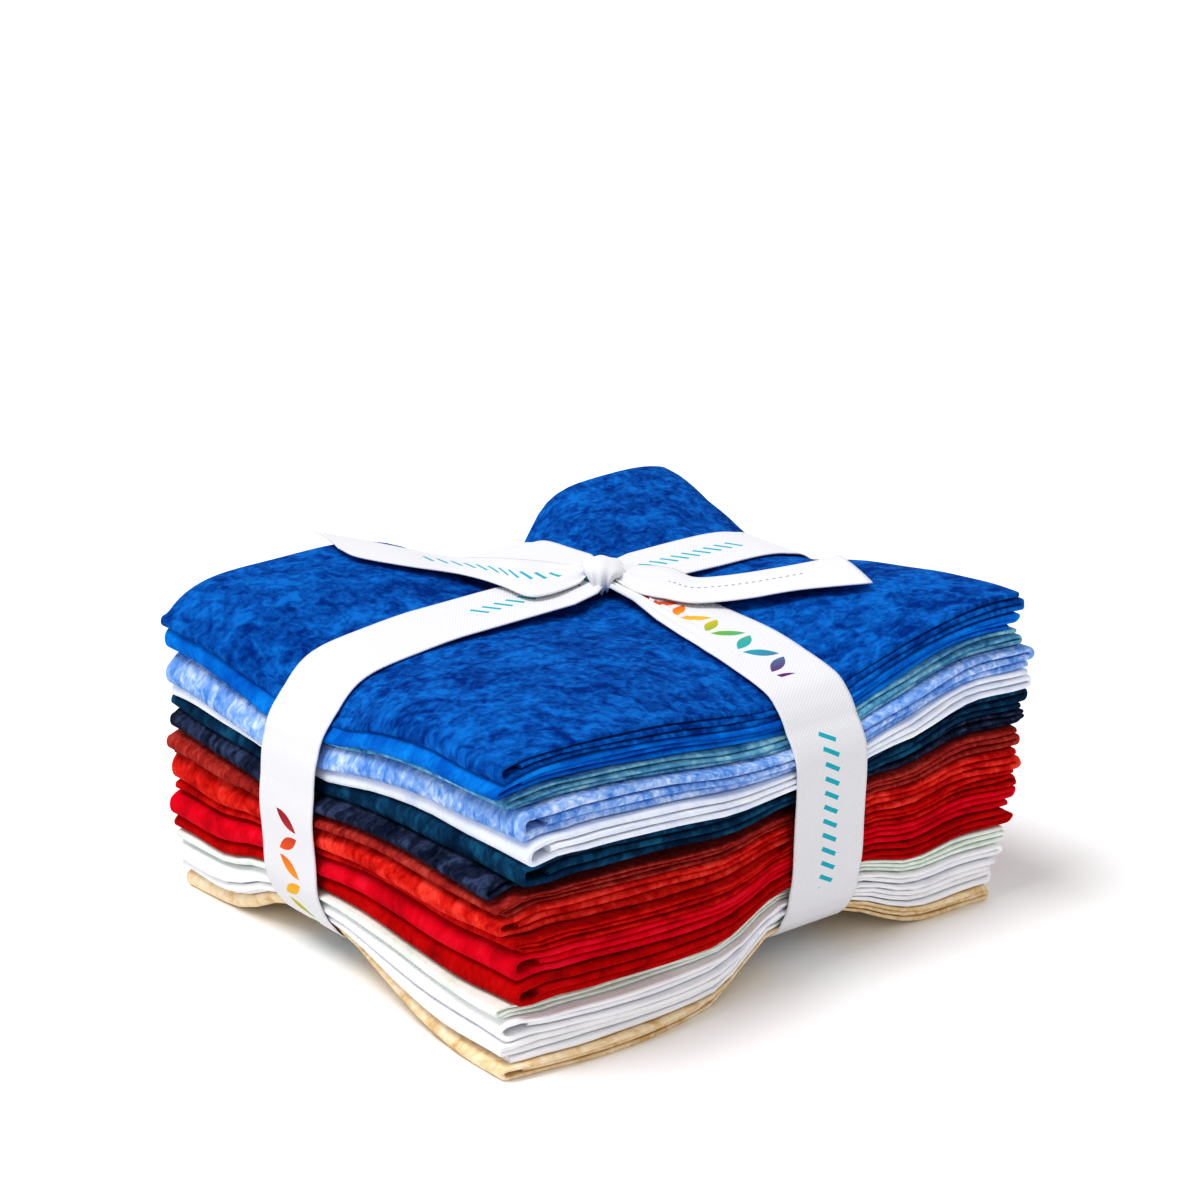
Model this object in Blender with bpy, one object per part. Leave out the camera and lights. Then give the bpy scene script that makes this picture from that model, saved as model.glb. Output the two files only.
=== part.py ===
"""Fat quarter bundle: sixteen folded cotton quarters tied with one ribbon.

Lengths are in millimetres and become metres where a mesh is made. +X runs along the
long side of the stack, +Y along its short side and +Z up. The smooth folds of the
quarters face -X, and the long side with the edges of their layers faces -Y.
"""
import math

import bmesh
import bpy
import numpy as np

MM = 0.001
NAME = "fat_quarter_bundle"

# The stack of folded quarters
HALF_LENGTH = 76.2
HALF_WIDTH = 66.7
END_REACH = 86.0
LAYER_GAP = 0.42
PASSES = 3
CLOTH_ROUGHNESS = 0.85

# Height of the top face at the corners of the stack, and how far it is crowned near them:
# the -X and the +X corner at the -Y side, then the same at the +Y side
CORNER_TOP = ((73.1, 79.6), (73.0, 78.6))
CORNER_CROWN = ((3.5, 1.5), (7.0, 3.6))
CROWN_POWER = 4

# The ribbon, its tie and the troughs that it presses into the stack
RIBBON_WIDTH = 22.0
RIBBON_THICK = 1.0
RIBBON_CLEAR = 0.4
RIBBON_COLOUR = "F6F6F8"
RIBBON_ROUGHNESS = 0.7
TIE_X = 17.0
TIE_Y = 14.0
LONG_BAND_SLOPE = 0.0065
SHORT_BAND_SLOPE = -0.017
PAD_LEVEL = 0.6

# How the bands press the top and the underside: the depth where they cross and at the
# ends of each (-X and +X for the long band), how much less they press halfway out, and
# how far a trough falls off on its low and high side at both ends of each band
TOP_PRESS = {
    "middle": 8.0, "long_end": (9.5, 9.5), "short_end": 12.9, "end_power": 6, "sides": (HALF_LENGTH, END_REACH),
    "long_relief": (2.6, 1.5), "short_relief": 2.6, "flat": 10.0, "power": 1.5,
    "long_reach_west": (23.0, 20.0), "long_reach_east": (32.0, 28.0),
    "short_reach_near": (34.0, 21.0), "short_reach_far": (15.0, 10.5),
}
BOTTOM_PRESS = {
    "middle": 5.4, "long_end": (8.2, 8.2), "short_end": 6.8, "end_power": 2, "sides": (HALF_LENGTH, HALF_LENGTH),
    "long_relief": (0.0, 0.0), "short_relief": 0.0, "flat": 11.5, "power": 2.0,
    "long_reach_west": (34.0, 14.0), "long_reach_east": (34.0, 14.0),
    "short_reach_near": (14.0, 16.0), "short_reach_far": (19.0, 19.0),
}

# How the sides of the stack are drawn in under the turns of the bands, and how its near
# end swells towards -Y at the underside and at the top
EDGE_DRAW_IN = 6.5
RIM_START = 0.24
NEAR_SWELL = (6.0, 2.5)
SWELL_LENGTH = 84.0
SIDE_START_X = 48.0
SIDE_START_Y = 40.0

# Stations that every layer shares, so that neighbouring layers stay parallel
BAND_HALF = 12.5
X_STATIONS = (-60.0, -20.0, TIE_X - BAND_HALF, TIE_X + BAND_HALF, 60.0)
Y_STATIONS = (-56.0, -26.0, TIE_Y - BAND_HALF, TIE_Y + BAND_HALF, 50.0)
SAME_PLACE = 0.01

# Directions in which the taut line of a band is looked for
TAUT_DIRECTIONS = 1440

# One row for each quarter, top to bottom. deep_left, deep_near and deep_right are its
# thickness at those corners. fold_far and fold_near are x of its -X side at both ends,
# end_near and end_far x of its +X side, edge_left and edge_right y of its -Y side at
# both ends, and edge_far y of its +Y side.
QUARTER_COLUMNS = (
    "name", "colour", "way", "deep_left", "deep_near", "deep_right",
    "fold_far", "fold_near", "end_near", "end_far", "edge_left", "edge_right", "edge_far",
)
QUARTERS = (
    ("royal", "0B4DA8", "wrap_down", 4.2, 4.4, 4.5, -76.8, -75.6, 84.0, 83.0, -67.4, -67.2, 67.2),
    ("azure", "0A84E0", "wrap_up", 5.4, 4.6, 4.4, -77.6, -76.4, 81.5, 82.0, -66.5, -66.6, 66.4),
    ("light_teal", "7FBFC9", "zigzag", 4.0, 3.9, 4.0, -76.1, -75.8, 84.0, 83.4, -67.2, -66.4, 66.9),
    ("periwinkle", "A9C0F0", "wrap_up", 5.6, 5.7, 5.4, -78.0, -73.6, 87.4, 85.2, -69.6, -67.0, 66.2),
    ("lavender", "EDEDFB", "wrap_down", 4.0, 5.0, 4.9, -76.3, -72.4, 87.2, 85.0, -71.2, -66.8, 66.8),
    ("dark_teal", "0C3F5C", "wrap_up", 3.9, 5.6, 4.9, -75.9, -73.2, 86.8, 84.2, -70.4, -66.4, 67.4),
    ("navy", "1B2740", "zigzag", 5.2, 3.9, 4.2, -77.5, -77.2, 86.0, 83.0, -62.6, -66.2, 66.0),
    ("brick", "A0262A", "zigzag", 5.2, 4.0, 4.6, -78.6, -76.6, 85.0, 83.6, -66.2, -66.8, 66.6),
    ("bright_red", "D92320", "wrap_down", 5.8, 5.2, 5.3, -77.3, -77.0, 84.2, 82.4, -65.8, -67.0, 67.2),
    ("orange_red", "C8201A", "zigzag", 3.9, 4.2, 4.2, -76.8, -74.4, 84.0, 82.8, -69.0, -66.6, 66.4),
    ("crimson", "D8061F", "wrap_up", 5.4, 5.4, 5.0, -78.3, -74.6, 83.4, 81.6, -69.0, -67.0, 66.9),
    ("deep_red", "B80508", "wrap_down", 4.0, 5.6, 4.5, -77.2, -74.6, 82.2, 81.4, -69.2, -66.9, 67.2),
    ("green_white", "E6EDE8", "zigzag", 4.2, 3.9, 4.1, -77.0, -77.0, 80.6, 80.4, -65.0, -66.3, 66.2),
    ("white", "F4F4F8", "wrap_up", 4.9, 4.8, 4.9, -77.2, -76.4, 78.8, 79.4, -66.2, -66.8, 66.8),
    ("plain_white", "F2F2F6", "zigzag", 4.1, 4.8, 4.8, -76.8, -77.6, 77.2, 78.6, -64.6, -66.4, 66.4),
    ("beige", "F0DCBE", "wrap_down", 4.4, 4.0, 4.6, -76.4, -76.6, 76.8, 78.0, -65.6, -66.6, 66.6),
)

# How a quarter is folded in three: its passes by level from the bottom, in the order in
# which the sheet runs, and how far its two free ends stop short of the sides
FOLD_COLUMNS = ("levels", "tuck_in", "loose_end")
FOLDS = {
    "wrap_down": ((1, 0, 2), 9.0, 3.4),
    "wrap_up": ((1, 2, 0), 12.0, 2.2),
    "zigzag": ((0, 1, 2), 2.6, 1.6),
}

# The knot, and both tails from the knot to the cut end, as places of their two edges
KNOT_SIZE = (5.8, 5.8, 3.9)
KNOT_LIFT = 4.3
KNOT_SEGMENTS = 21
KNOT_RINGS = 9
KNOT_PLEATS = 7
KNOT_PLEAT_DEEP = 0.07
ARM_START = 6.3
ARM_FULL = 12.6
ARM_STEP = 1.0
ARM_START_HALF_WIDTH = 4.6
TAIL_COLUMNS = ("near_x", "near_y", "near_z", "far_x", "far_y", "far_z")
TAILS = {
    "ribbon_left_tail": (
        (8.4, 11.5, 76.4, 13.3, 20.6, 77.4),
        (-2.8, 9.4, 76.8, 12.7, 30.0, 76.6),
        (-7.9, 11.9, 76.9, 7.0, 36.1, 76.9),
        (-8.1, 22.6, 76.9, 4.0, 44.8, 75.5),
        (-10.9, 35.0, 77.0, -1.9, 51.5, 75.2),
        (-21.0, 43.5, 79.0, -10.4, 56.0, 77.7),
        (-29.1, 52.8, 80.6, -17.7, 62.4, 79.6),
        (-30.6, 59.3, 81.6, -27.2, 74.6, 81.2),
    ),
    "ribbon_right_tail": (
        (17.6, 5.7, 76.0, 23.9, 12.1, 77.7),
        (15.4, -3.2, 75.7, 28.5, 9.6, 77.3),
        (18.3, -8.8, 75.8, 32.1, 3.8, 77.1),
        (20.9, -14.9, 76.2, 33.0, -2.8, 76.5),
        (25.2, -18.6, 76.4, 39.3, -5.9, 76.6),
        (32.1, -24.7, 77.6, 48.3, -10.7, 77.4),
        (42.3, -31.3, 79.3, 58.8, -16.7, 79.0),
        (55.8, -42.6, 81.2, 66.0, -19.8, 80.0),
    ),
}


def rows_of(columns, table):
    """Give each row of a table as a dictionary by its column names."""
    return [dict(zip(columns, row)) for row in table]


def between(start, end, share):
    """A value on the straight line from start to end."""
    return start + (end - start) * share


def east_share(x):
    """0 at the -X side of the stack and 1 at its +X side."""
    return np.clip(0.5 + x / (2 * HALF_LENGTH), 0.0, 1.0)


def north_share(y):
    """0 at the -Y side of the stack and 1 at its +Y side."""
    return np.clip(0.5 + y / (2 * HALF_WIDTH), 0.0, 1.0)


def corner_blend(corners, x, y):
    """A value given at the four corners of the stack, blended between them."""
    near, far = (between(*side, east_share(x)) for side in corners)
    return between(near, far, north_share(y))


def trough(press, distance, reach):
    """One across the flat strip that a band presses, falling smoothly to nothing.

    reach is how far it falls on the low side and on the high side.
    """
    past = np.maximum(np.abs(distance) - press["flat"], 0.0)
    return np.exp(-(past / np.where(distance < 0.0, *reach)) ** press["power"])


def long_trough(press, x, y):
    """The share of its full depth that the band along X presses at x and y."""
    ends = zip(press["long_reach_west"], press["long_reach_east"])
    return trough(press, y - TIE_Y, [between(west, east, east_share(x)) for west, east in ends])


def short_trough(press, x, y):
    """The share of its full depth that the band along Y presses at x and y."""
    ends = zip(press["short_reach_near"], press["short_reach_far"])
    return trough(press, x - TIE_X, [between(near, far, north_share(y)) for near, far in ends])


def way_out(position, tie, low_side, high_side):
    """0 at the tie and 1 at either side of the stack."""
    return np.clip(np.where(position < tie, (tie - position) / (tie + low_side),
                            (position - tie) / (high_side - tie)), 0.0, 1.0)


def pressed(press, x, y):
    """Depth that both bands press, counted once where they cross."""
    out_x = np.clip(np.abs(x) / np.where(x < 0.0, *press["sides"]), 0.0, 1.0) ** press["end_power"]
    out_y = np.clip(np.abs(y) / HALF_WIDTH, 0.0, 1.0) ** 2
    long_end = np.where(x < TIE_X, *press["long_end"])
    long_relief = np.where(x < TIE_X, *press["long_relief"])
    along = between(press["middle"], long_end, out_x)
    along -= long_relief * np.sin(math.pi * way_out(x, TIE_X, HALF_LENGTH, END_REACH))
    across = between(press["middle"], press["short_end"], out_y)
    across -= press["short_relief"] * np.sin(math.pi * way_out(y, TIE_Y, HALF_WIDTH, HALF_WIDTH))
    along = along * long_trough(press, x, y)
    across = across * short_trough(press, x, y)
    return along + across - along * across / press["middle"]


def top_height(x, y):
    """Height of the top face: blended from its corners, crowned, less the troughs."""
    out_x = np.clip(np.abs(x) / np.where(x < 0.0, *TOP_PRESS["sides"]), 0.0, 1.0)
    crown = corner_blend(CORNER_CROWN, x, y) * (1.0 - out_x ** CROWN_POWER)
    return corner_blend(CORNER_TOP, x, y) + crown - pressed(TOP_PRESS, x, y)


def bottom_height(x, y):
    """Height of the underside: flat pads under the corners, raised along the bands."""
    return np.maximum(pressed(BOTTOM_PRESS, x, y) - PAD_LEVEL, 0.0)


def deep_at(row, x, y):
    """Thickness of one quarter, blended between its corners."""
    east = east_share(x)
    north = north_share(y)
    hidden = 0.5 * (row["deep_left"] + row["deep_right"])
    near_side = between(row["deep_near"], row["deep_right"], east)
    far_side = between(row["deep_left"], hidden, east)
    return between(near_side, far_side, north)


def deep_under(rows, x, y):
    """Thickness of several quarters together."""
    return sum((deep_at(row, x, y) for row in rows), np.zeros_like(x))


def squeeze(x, y, share):
    """Carry points of the loose stack to where the tie presses them.

    share is the height in the stack, from 0 at its underside to 1 at its top. The faces
    are drawn in where a band turns over the top and bottom edges.
    """
    bottom = bottom_height(x, y)
    z = bottom + share * (top_height(x, y) - bottom)
    rim = EDGE_DRAW_IN * np.clip((np.abs(share - 0.5) - RIM_START) / (0.5 - RIM_START), 0.0, 1.0) ** 2
    out_x = np.clip((np.abs(x) - SIDE_START_X) / (HALF_LENGTH - SIDE_START_X), 0.0, 1.0) ** 2
    out_y = np.clip((np.abs(y) - SIDE_START_Y) / (HALF_WIDTH - SIDE_START_Y), 0.0, 1.0) ** 2
    drawn_x = x - np.sign(x) * rim * out_x * long_trough(TOP_PRESS, x, y)
    drawn_y = y - np.sign(y) * rim * out_y * short_trough(TOP_PRESS, x, y)
    swell = np.sin(math.pi * np.clip((x + HALF_LENGTH) / SWELL_LENGTH, 0.0, 1.0)) * out_y
    drawn_y -= np.where(y < 0.0, between(*NEAR_SWELL, share) * swell, 0.0)
    return np.stack([drawn_x, drawn_y, z], axis=-1)


def fold_line(row, pass_deep, left, right):
    """The middle line of a quarter folded in three between two x positions.

    Returns x, the height in passes from 0 to 3, and the direction to one side of the
    sheet, for the points of each pass at the stations and of the turns at the sides.
    """
    fold = dict(zip(FOLD_COLUMNS, FOLDS[row["way"]]))
    levels = fold["levels"]
    half_sheet = 0.5 * (pass_deep - LAYER_GAP)
    start_in = fold["tuck_in"]
    points = []
    for number, level in enumerate(levels):
        heading = 1 if number % 2 == 0 else -1
        begin, finish = (left, right) if heading > 0 else (right, left)
        climb = levels[number + 1] - level if number < PASSES - 1 else 0
        turn_radius = 0.5 * abs(climb) * pass_deep
        end_in = half_sheet + turn_radius if climb else fold["loose_end"]
        for x in (begin + heading * start_in, *X_STATIONS[::heading], finish - heading * end_in):
            points.append((x, level + 0.5, 0.0, heading))
        steps = 2 + abs(climb)
        for step in range(1, steps) if climb else ():
            turned = math.pi * step / steps
            out = math.sin(turned)
            side = math.copysign(1.0, -climb)
            x = finish - heading * (end_in - turn_radius * out)
            height = level + 0.5 + 0.5 * climb * (1.0 - math.cos(turned))
            points.append((x, height, side * out, heading * math.cos(turned)))
        start_in = end_in
    return np.array(points)


def quarter_faces(rows, number):
    """Both faces of the folded sheet of one quarter, as grids of points."""
    row = rows[number]
    mean_pass = (row["deep_left"] + row["deep_near"] + row["deep_right"]) / 3.0 / PASSES
    lines = []
    for y in (row["edge_left"], *Y_STATIONS, row["edge_far"]):
        left = between(row["fold_near"], row["fold_far"], north_share(y))
        right = between(row["end_near"], row["end_far"], north_share(y))
        line = fold_line(row, mean_pass, left, right)
        lines.append(np.column_stack([line, np.full(len(line), y)]))
    x, level, side_x, side_z, y = np.moveaxis(np.array(lines), -1, 0)
    y[0] = between(row["edge_left"], row["edge_right"], east_share(x[0]))
    faces = []
    for side in (0.5, -0.5):
        face_x = x + side * side_x * (mean_pass - LAYER_GAP)
        pass_deep = deep_at(row, face_x, y) / PASSES
        height = level * pass_deep + side * side_z * (pass_deep - LAYER_GAP)
        under = deep_under(rows[number + 1:], face_x, y) + height - 0.5 * LAYER_GAP
        share = under / (deep_under(rows, face_x, y) - LAYER_GAP)
        faces.append(squeeze(face_x, y, share))
    return faces


def hex_colour(text):
    """Linear colour of an sRGB hex value."""
    channels = [int(text[i:i + 2], 16) / 255.0 for i in (0, 2, 4)]
    linear = [c / 12.92 if c <= 0.04045 else ((c + 0.055) / 1.055) ** 2.4 for c in channels]
    return (*linear, 1.0)


def add_object(name, mesh, colour, roughness, collection):
    """Put a mesh in the collection with its own cloth material."""
    material = bpy.data.materials.new(name)
    material.use_nodes = True
    shader = material.node_tree.nodes["Principled BSDF"]
    shader.inputs["Base Color"].default_value = hex_colour(colour)
    shader.inputs["Roughness"].default_value = roughness
    shader.inputs["Metallic"].default_value = 0.0
    mesh.materials.append(material)
    collection.objects.link(bpy.data.objects.new(name, mesh))


def split_quads(index, points):
    """Two triangles for each cell of a grid, cut the same way in every layer.

    The cut runs square to the way out from the knot, so a trough keeps its walls.
    """
    low_row, low_next = index[:-1, :-1], index[:-1, 1:]
    high_row, high_next = index[1:, :-1], index[1:, 1:]
    centre = 0.25 * (points[:-1, :-1] + points[:-1, 1:] + points[1:, :-1] + points[1:, 1:])
    rising = (centre[..., 0] - TIE_X) * (centre[..., 1] - TIE_Y) < 0.0
    runs_back = points[:-1, 1:, 0] < points[:-1, :-1, 0]
    cut = (rising != runs_back)[..., None]
    straight = np.stack([low_row, high_row, high_next, low_row, high_next, low_next], axis=-1)
    crossed = np.stack([low_row, high_row, low_next, high_row, high_next, low_next], axis=-1)
    return np.where(cut, straight, crossed).reshape(-1, 3)


def sheet_solid(name, front, back):
    """A closed solid between two faces of a sheet, given as grids of the same shape."""
    rows, columns = front.shape[:2]
    points = np.concatenate([front.reshape(-1, 3), back.reshape(-1, 3)]) * MM
    upper = np.arange(rows * columns).reshape(rows, columns)
    lower = upper + rows * columns
    faces = split_quads(upper, front).tolist() + split_quads(lower, front).tolist()
    for side in (np.s_[0, :], np.s_[-1, :], np.s_[:, 0], np.s_[:, -1]):
        line, under = upper[side], lower[side]
        faces += np.stack([line[:-1], line[1:], under[1:], under[:-1]], axis=-1).tolist()
    mesh = bpy.data.meshes.new(name)
    mesh.from_pydata(points.tolist(), [], faces)
    work = bmesh.new()
    work.from_mesh(mesh)
    bmesh.ops.recalc_face_normals(work, faces=work.faces)
    work.to_mesh(mesh)
    work.free()
    return mesh


def outer_line(points):
    """Corners of the taut line round a set of plane points, from the top towards -X."""
    turns = np.linspace(0.5 * math.pi, 2.5 * math.pi, TAUT_DIRECTIONS, endpoint=False)
    picks = np.argmax(points @ np.stack([np.cos(turns), np.sin(turns)]), axis=0)
    return points[picks[picks != np.roll(picks, 1)]]


def band_line(cloth, knot_at):
    """The inner line of a band round the cloth, from one side of the knot to the other.

    cloth holds plane points along the band and knot_at is the knot's place along it.
    """
    ring = outer_line(cloth)
    middle = 0.5 * (cloth[:, 1].max() + cloth[:, 1].min())
    upper = ring[ring[:, 1] > middle]
    upper = upper[np.argsort(upper[:, 0])]
    clear_of_knot = np.abs(ring[:, 0] - knot_at) > ARM_FULL + ARM_STEP
    kept = ring[(ring[:, 1] < middle) | clear_of_knot]
    first = np.argmax((kept[:, 0] < knot_at) & (kept[:, 1] > middle))
    kept = np.roll(kept, -first, axis=0)
    arms = np.array([ARM_START, 0.5 * (ARM_START + ARM_FULL), ARM_FULL])
    starts = np.column_stack([knot_at - arms, np.interp(knot_at - arms, *upper.T)])
    ends = np.column_stack([knot_at + arms, np.interp(knot_at + arms, *upper.T)])
    return np.concatenate([starts, kept, ends[::-1]])


def band_faces(line, knot_at, knot_across, slope):
    """Both faces of a band, as grids of points along it, across it and up.

    slope is how far the band shifts across for each millimetre along it.
    """
    steps = np.diff(line, axis=0)
    steps /= np.linalg.norm(steps, axis=1, keepdims=True)
    before = np.concatenate([steps[:1], steps])
    after = np.concatenate([steps, steps[-1:]])
    lean = np.column_stack([before[:, 1] + after[:, 1], -before[:, 0] - after[:, 0]])
    lean /= (1.0 + np.sum(before * after, axis=1))[:, None]
    on_top = line[:, 1] > 0.5 * (line[:, 1].max() + line[:, 1].min())
    from_knot = np.where(on_top, np.abs(line[:, 0] - knot_at), ARM_FULL)
    half = np.interp(from_knot, [ARM_START, ARM_FULL], [ARM_START_HALF_WIDTH, 0.5 * RIBBON_WIDTH])
    faces = []
    for away in (RIBBON_CLEAR, RIBBON_CLEAR + RIBBON_THICK):
        along, up = (line + away * lean).T
        centre = knot_across + slope * (along - knot_at)
        edges = [np.stack([along, centre + side * half, up], axis=-1) for side in (-1.0, 1.0)]
        faces.append(np.stack(edges, axis=1))
    return faces


def tail_faces(table):
    """Both faces of a loose ribbon end, lofted through its rows of two edges."""
    places = np.array(table)
    near_edge = places[:, [TAIL_COLUMNS.index("near_" + axis) for axis in "xyz"]]
    far_edge = places[:, [TAIL_COLUMNS.index("far_" + axis) for axis in "xyz"]]
    middle = np.stack([near_edge, 0.5 * (near_edge + far_edge), far_edge], axis=1)
    along = np.gradient(middle, axis=0)
    across = np.gradient(middle, axis=1)
    normal = np.cross(along, across)
    normal /= np.linalg.norm(normal, axis=-1, keepdims=True)
    return middle + 0.5 * RIBBON_THICK * normal, middle - 0.5 * RIBBON_THICK * normal


def knot_mesh(name):
    """The knot: a flattened ball with soft pleats that run over it."""
    work = bmesh.new()
    bmesh.ops.create_uvsphere(work, u_segments=KNOT_SEGMENTS, v_segments=KNOT_RINGS, radius=1.0)
    centre_z = float(top_height(TIE_X, TIE_Y)) + KNOT_LIFT
    for vert in work.verts:
        turn = math.atan2(vert.co.y, vert.co.x)
        pleat = 1.0 - KNOT_PLEAT_DEEP * (1.0 - math.cos(KNOT_PLEATS * turn)) * (1.0 - vert.co.z ** 2)
        vert.co.x = (TIE_X + vert.co.x * KNOT_SIZE[0] * pleat) * MM
        vert.co.y = (TIE_Y + vert.co.y * KNOT_SIZE[1] * pleat) * MM
        vert.co.z = (centre_z + vert.co.z * KNOT_SIZE[2]) * MM
    mesh = bpy.data.meshes.new(name)
    work.to_mesh(mesh)
    work.free()
    mesh.shade_smooth()
    return mesh


def centre_objects(collection):
    """Move every object so that the part's box stands centred on the origin."""
    corners = np.concatenate([[vert.co for vert in item.data.vertices] for item in collection.objects])
    low = corners.min(axis=0)
    high = corners.max(axis=0)
    for item in collection.objects:
        item.location = (-0.5 * (low[0] + high[0]), -0.5 * (low[1] + high[1]), -low[2])


def build():
    """Clear the scene, then make the quarters, the bands, the knot and the tails."""
    for old in list(bpy.data.objects):
        bpy.data.objects.remove(old)
    collection = bpy.data.collections.new(NAME)
    bpy.context.scene.collection.children.link(collection)

    rows = rows_of(QUARTER_COLUMNS, QUARTERS)
    cloth = []
    for number, row in enumerate(rows):
        front, back = quarter_faces(rows, number)
        cloth += [front, back]
        name = f"quarter_{number + 1:02d}_{row['name']}"
        add_object(name, sheet_solid(name, front, back), row["colour"], CLOTH_ROUGHNESS, collection)

    first = 1 + Y_STATIONS.index(TIE_Y - BAND_HALF)
    under_long = np.concatenate([face[first:first + 2].reshape(-1, 3) for face in cloth])
    long_line = band_line(under_long[:, [0, 2]], TIE_X)
    long_faces = band_faces(long_line, TIE_X, TIE_Y, LONG_BAND_SLOPE)

    points = np.concatenate([face.reshape(-1, 3) for face in cloth])
    under_short = points[np.abs(points[:, 0] - TIE_X) < BAND_HALF + SAME_PLACE][:, [1, 2]]
    crossing = [(TIE_Y + side * BAND_HALF, long_faces[1][..., 2].min()) for side in (-1.0, 1.0)]
    short_line = band_line(np.concatenate([under_short, crossing]), TIE_Y)
    short_faces = [face[..., [1, 0, 2]] for face in band_faces(short_line, TIE_Y, TIE_X, SHORT_BAND_SLOPE)]

    ribbon = {
        "ribbon_long_band": sheet_solid("ribbon_long_band", *long_faces),
        "ribbon_short_band": sheet_solid("ribbon_short_band", *short_faces),
        "ribbon_knot": knot_mesh("ribbon_knot"),
    }
    for name, table in TAILS.items():
        ribbon[name] = sheet_solid(name, *tail_faces(table))
    for name, mesh in ribbon.items():
        add_object(name, mesh, RIBBON_COLOUR, RIBBON_ROUGHNESS, collection)
    centre_objects(collection)


build()
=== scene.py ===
"""The looks of the fat quarter bundle: sixteen folded batik cottons tied with one ribbon.

The script goes through the bundle as it is put together: the folded quarters, the two
bands of the tie, the knot, the loose ends, and last the floor, the light and the camera.
Lengths are in millimetres of the stack's own frame, whose middle is at x = y = 0, and
become metres of the shared frame where a mesh is made.
"""

import math

import bpy
import numpy as np
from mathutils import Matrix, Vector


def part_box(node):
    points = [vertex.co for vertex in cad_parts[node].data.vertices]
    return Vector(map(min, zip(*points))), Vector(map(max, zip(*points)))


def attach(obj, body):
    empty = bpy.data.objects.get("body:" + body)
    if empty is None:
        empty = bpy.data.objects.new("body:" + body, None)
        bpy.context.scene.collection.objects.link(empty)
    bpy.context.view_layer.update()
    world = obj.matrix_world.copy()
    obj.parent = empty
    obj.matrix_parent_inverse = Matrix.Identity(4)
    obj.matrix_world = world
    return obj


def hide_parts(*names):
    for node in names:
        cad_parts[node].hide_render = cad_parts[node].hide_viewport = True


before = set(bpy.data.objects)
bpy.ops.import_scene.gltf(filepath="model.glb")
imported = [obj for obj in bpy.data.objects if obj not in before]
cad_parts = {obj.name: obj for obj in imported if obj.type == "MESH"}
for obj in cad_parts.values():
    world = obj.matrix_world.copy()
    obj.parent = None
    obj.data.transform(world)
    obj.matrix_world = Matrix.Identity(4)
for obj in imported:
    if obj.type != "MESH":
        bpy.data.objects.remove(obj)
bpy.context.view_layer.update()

# The sixteen fat quarters. Each is a sheet of quilting cotton, dyed and wax resisted in
# one colour and cut 18 x 21 inches. It is folded in four across its length, then in three
# across its width, and pressed, and the folded quarters lie on each other by colour.
MM = 0.001
HALF_LENGTH = 76.2
HALF_WIDTH = 66.7
END_REACH = 86.0
TIE_X = 17.0
TIE_Y = 14.0
LONG_BAND_SLOPE = 0.0065
SHORT_BAND_SLOPE = -0.017
PAD_LEVEL = 0.6

# The top's height and crown at the corners of the stack: the -X and +X corner of its -Y
# side, then those of its +Y side
CORNER_TOP = ((73.1, 79.6), (73.0, 78.6))
CORNER_CROWN = ((3.5, 1.5), (7.0, 3.6))
CROWN_POWER = 12

# How deep the two bands press each face, and how wide. Of a pair, the first is for the -X
# end and the second for the +X end, but in a reach they are for a band's low and high side.
TOP_PRESS = {
    "middle": 8.0, "long_end": (9.5, 9.5), "short_end": 12.9,
    "end_power": 6, "sides": (HALF_LENGTH, END_REACH),
    "long_relief": (2.6, 1.5), "short_relief": 2.6, "flat": 10.0, "power": 1.5,
    "long_reach_west": (23.0, 20.0), "long_reach_east": (32.0, 24.0),
    "short_reach_near": (34.0, 21.0), "short_reach_far": (15.0, 10.5),
}
BOTTOM_PRESS = {
    "middle": 5.4, "long_end": (8.2, 8.2), "short_end": 9.0,
    "end_power": 2, "sides": (HALF_LENGTH, HALF_LENGTH),
    "long_relief": (0.0, 0.0), "short_relief": 0.0, "flat": 11.5, "power": 2.0,
    "long_reach_west": (34.0, 14.0), "long_reach_east": (34.0, 14.0),
    "short_reach_near": (14.0, 16.0), "short_reach_far": (19.0, 19.0),
}
EDGE_DRAW_IN = 6.5
RIM_START = 0.24
NEAR_SWELL = (6.0, 2.5)
SWELL_LENGTH = 84.0
SIDE_START_X = 48.0
SIDE_START_Y = 40.0

CLOTH_THICK = 0.2
PASS_GAP = 0.36
PASSES = 3
PLIES = 4
RUN_STEPS = 30
TOP_RUN_STEPS = 52
STEP_EASE = 0.6
TURN_STEPS = 6
TURN_SQUARE = 0.86

# How a quarter is folded in three: its passes by level from the bottom, in the order in
# which the sheet runs, and how far its two free ends stop short of the sides
FOLDS = {
    "wrap_down": ((1, 0, 2), 5.5, 2.6),
    "wrap_up": ((1, 2, 0), 7.0, 2.2),
    "zigzag": ((0, 1, 2), 2.6, 1.6),
}
FOUR_FOLD = (3, 0, 1, 2)

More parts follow.
